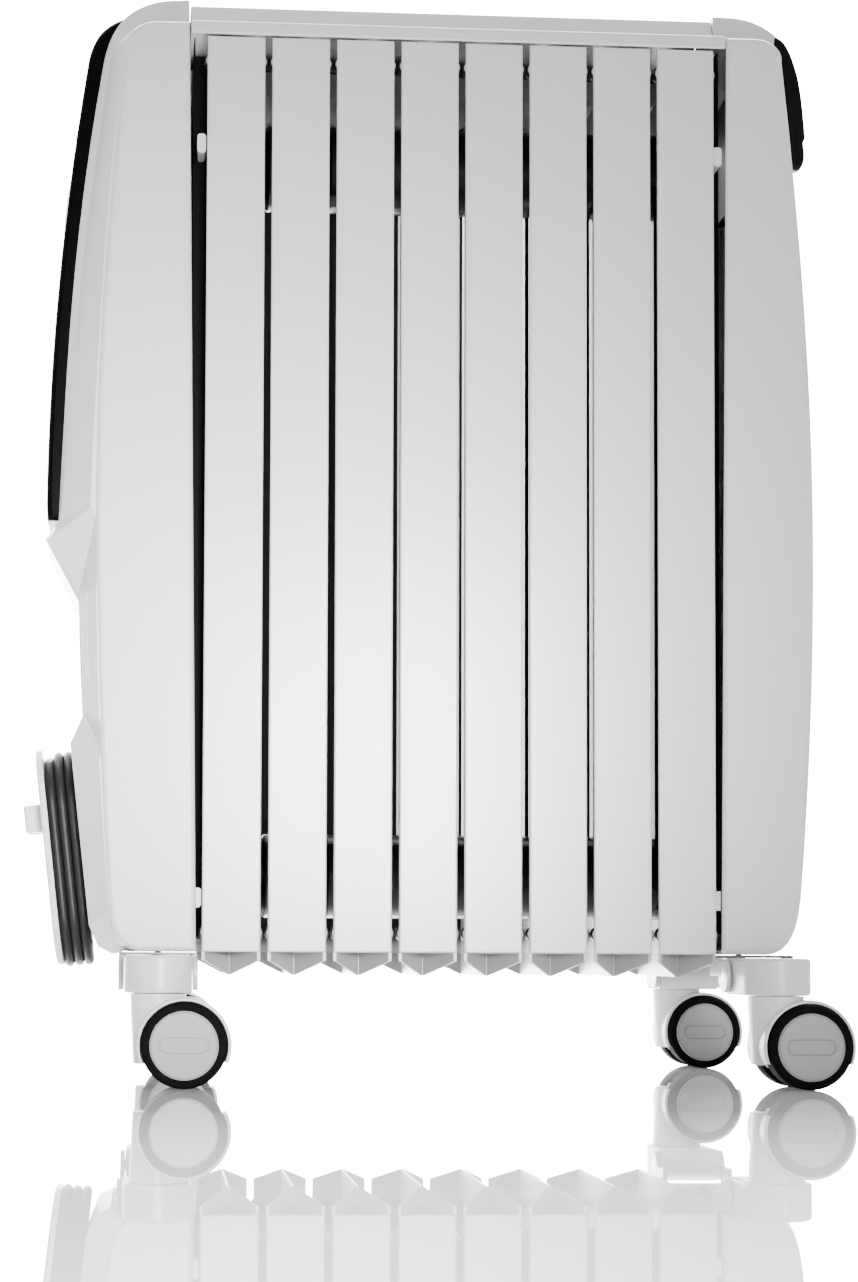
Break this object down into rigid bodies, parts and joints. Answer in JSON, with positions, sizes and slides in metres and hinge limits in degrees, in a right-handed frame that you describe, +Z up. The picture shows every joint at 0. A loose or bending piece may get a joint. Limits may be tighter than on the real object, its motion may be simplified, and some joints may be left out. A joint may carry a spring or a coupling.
{
  "type": "oil filled radiator heater",
  "caption": "Portable oil filled radiator heater: pressed steel fin elements between moulded end covers, with thermostat knob, rocker switches, cord winder, rear handle and fold-out twin-wheel castors.",
  "frame": {"origin": "centre of the heater's footprint on the floor, midway along, across and under the wheels, cord left out", "axes": "+X along the row of fins, from the control end to the handle end; +Y across the fins; +Z up"},
  "size_m": [0.4969, 0.2838, 0.6795],
  "materials": {
    "enamelled_steel": "gloss white stove enamel",
    "white_plastic": "satin white moulding",
    "black_plastic": "fine-grained black moulding",
    "gloss_black_panel": "gloss black",
    "knob_plastic": "satin black",
    "dark_plastic": "matte",
    "lamp_lens": "clear red lens",
    "shield_steel": "matt dark stove paint",
    "brass_parts": "plain",
    "plated_steel": "zinc plated",
    "cord_sheath": "dark grey satin sheath",
    "hub_cap_plastic": "satin light grey",
    "tyre": "smooth black rubber"
  },
  "bodies": {
    "heater": {"arm_pins": "plated_steel", "castor_brackets": "plated_steel", "control_panel": "gloss_black_panel", "cord_lead": "cord_sheath", "cord_tail": "cord_sheath", "cord_winding": "cord_sheath", "cover_screws": "plated_steel", "element_1": "enamelled_steel", "element_2": "enamelled_steel", "element_3": "enamelled_steel", "element_4": "enamelled_steel", "element_5": "enamelled_steel", "element_6": "enamelled_steel", "element_7": "enamelled_steel", "element_8": "enamelled_steel", "front_cover": "white_plastic", "front_heat_shield": "shield_steel", "heater_flange": "brass_parts", "heating_rods": "plated_steel", "hub_plugs": "enamelled_steel", "pilot_lamp": "lamp_lens", "plug": "black_plastic", "plug_pins": "brass_parts", "rear_cover": "white_plastic", "rear_handle": "black_plastic", "rear_heat_shield": "shield_steel", "spacer_clips": "white_plastic", "strain_relief": "black_plastic", "switch_block": "dark_plastic", "terminal_block": "dark_plastic", "thermal_cutout": "brass_parts", "thermostat": "dark_plastic", "top_cover": "white_plastic", "winder_core": "white_plastic", "winder_flange": "white_plastic", "wiring": "cord_sheath"},
    "arm_front_near": {"arm_front_near": "white_plastic"},
    "castor_front_near": {"hood_front_near": "white_plastic", "stem_front_near": "plated_steel"},
    "wheels_front_near": {"wheels_front_near": "hub_cap_plastic", "tyres_front_near": "tyre"},
    "arm_front_far": {"arm_front_far": "white_plastic"},
    "castor_front_far": {"hood_front_far": "white_plastic", "stem_front_far": "plated_steel"},
    "wheels_front_far": {"wheels_front_far": "hub_cap_plastic", "tyres_front_far": "tyre"},
    "arm_rear_near": {"arm_rear_near": "white_plastic"},
    "castor_rear_near": {"hood_rear_near": "white_plastic", "stem_rear_near": "plated_steel"},
    "wheels_rear_near": {"wheels_rear_near": "hub_cap_plastic", "tyres_rear_near": "tyre"},
    "arm_rear_far": {"arm_rear_far": "white_plastic"},
    "castor_rear_far": {"hood_rear_far": "white_plastic", "stem_rear_far": "plated_steel"},
    "wheels_rear_far": {"wheels_rear_far": "hub_cap_plastic", "tyres_rear_far": "tyre"},
    "thermostat_knob": {"thermostat_knob": "knob_plastic"},
    "power_rocker_1": {"power_rocker_1": "gloss_black_panel"},
    "power_rocker_2": {"power_rocker_2": "gloss_black_panel"}
  },
  "joints": [
    {"name": "front_near_arm_fold", "type": "hinge", "parent": "heater", "child": "arm_front_near", "pos_m": [-0.16289, -0.09, 0.066], "axis": [1, 0, 0], "range_deg": [0, 90]},
    {"name": "front_near_castor_swivel", "type": "hinge", "parent": "arm_front_near", "child": "castor_front_near", "pos_m": [-0.16289, -0.12, 0.06], "axis": [0, 0, 1], "continuous": true},
    {"name": "front_near_wheel_spin", "type": "hinge", "parent": "castor_front_near", "child": "wheels_front_near", "pos_m": [-0.14789, -0.12, 0.025], "axis": [0, 1, 0], "continuous": true},
    {"name": "front_far_arm_fold", "type": "hinge", "parent": "heater", "child": "arm_front_far", "pos_m": [-0.16289, 0.09, 0.066], "axis": [-1, 0, 0], "range_deg": [0, 90]},
    {"name": "front_far_castor_swivel", "type": "hinge", "parent": "arm_front_far", "child": "castor_front_far", "pos_m": [-0.16289, 0.12, 0.06], "axis": [0, 0, 1], "continuous": true},
    {"name": "front_far_wheel_spin", "type": "hinge", "parent": "castor_front_far", "child": "wheels_front_far", "pos_m": [-0.14789, 0.12, 0.025], "axis": [0, 1, 0], "continuous": true},
    {"name": "rear_near_arm_fold", "type": "hinge", "parent": "heater", "child": "arm_rear_near", "pos_m": [0.20361, -0.09, 0.066], "axis": [1, 0, 0], "range_deg": [0, 90]},
    {"name": "rear_near_castor_swivel", "type": "hinge", "parent": "arm_rear_near", "child": "castor_rear_near", "pos_m": [0.20361, -0.12, 0.06], "axis": [0, 0, 1], "continuous": true},
    {"name": "rear_near_wheel_spin", "type": "hinge", "parent": "castor_rear_near", "child": "wheels_rear_near", "pos_m": [0.21861, -0.12, 0.025], "axis": [0, 1, 0], "continuous": true},
    {"name": "rear_far_arm_fold", "type": "hinge", "parent": "heater", "child": "arm_rear_far", "pos_m": [0.20361, 0.09, 0.066], "axis": [-1, 0, 0], "range_deg": [0, 90]},
    {"name": "rear_far_castor_swivel", "type": "hinge", "parent": "arm_rear_far", "child": "castor_rear_far", "pos_m": [0.20361, 0.12, 0.06], "axis": [0, 0, 1], "continuous": true},
    {"name": "rear_far_wheel_spin", "type": "hinge", "parent": "castor_rear_far", "child": "wheels_rear_far", "pos_m": [0.21861, 0.12, 0.025], "axis": [0, 1, 0], "continuous": true},
    {"name": "thermostat_turn", "type": "hinge", "parent": "heater", "child": "thermostat_knob", "pos_m": [-0.22271, 0, 0.555], "axis": [-0.9935, 0, 0.1139], "range_deg": [0, 300]},
    {"name": "switch_1_rock", "type": "hinge", "parent": "heater", "child": "power_rocker_1", "pos_m": [-0.2249, -0.012, 0.47764], "axis": [0, 1, 0], "range_deg": [0, 14]},
    {"name": "switch_2_rock", "type": "hinge", "parent": "heater", "child": "power_rocker_2", "pos_m": [-0.2249, 0.012, 0.47764], "axis": [0, 1, 0], "range_deg": [0, 14]}
  ]
}
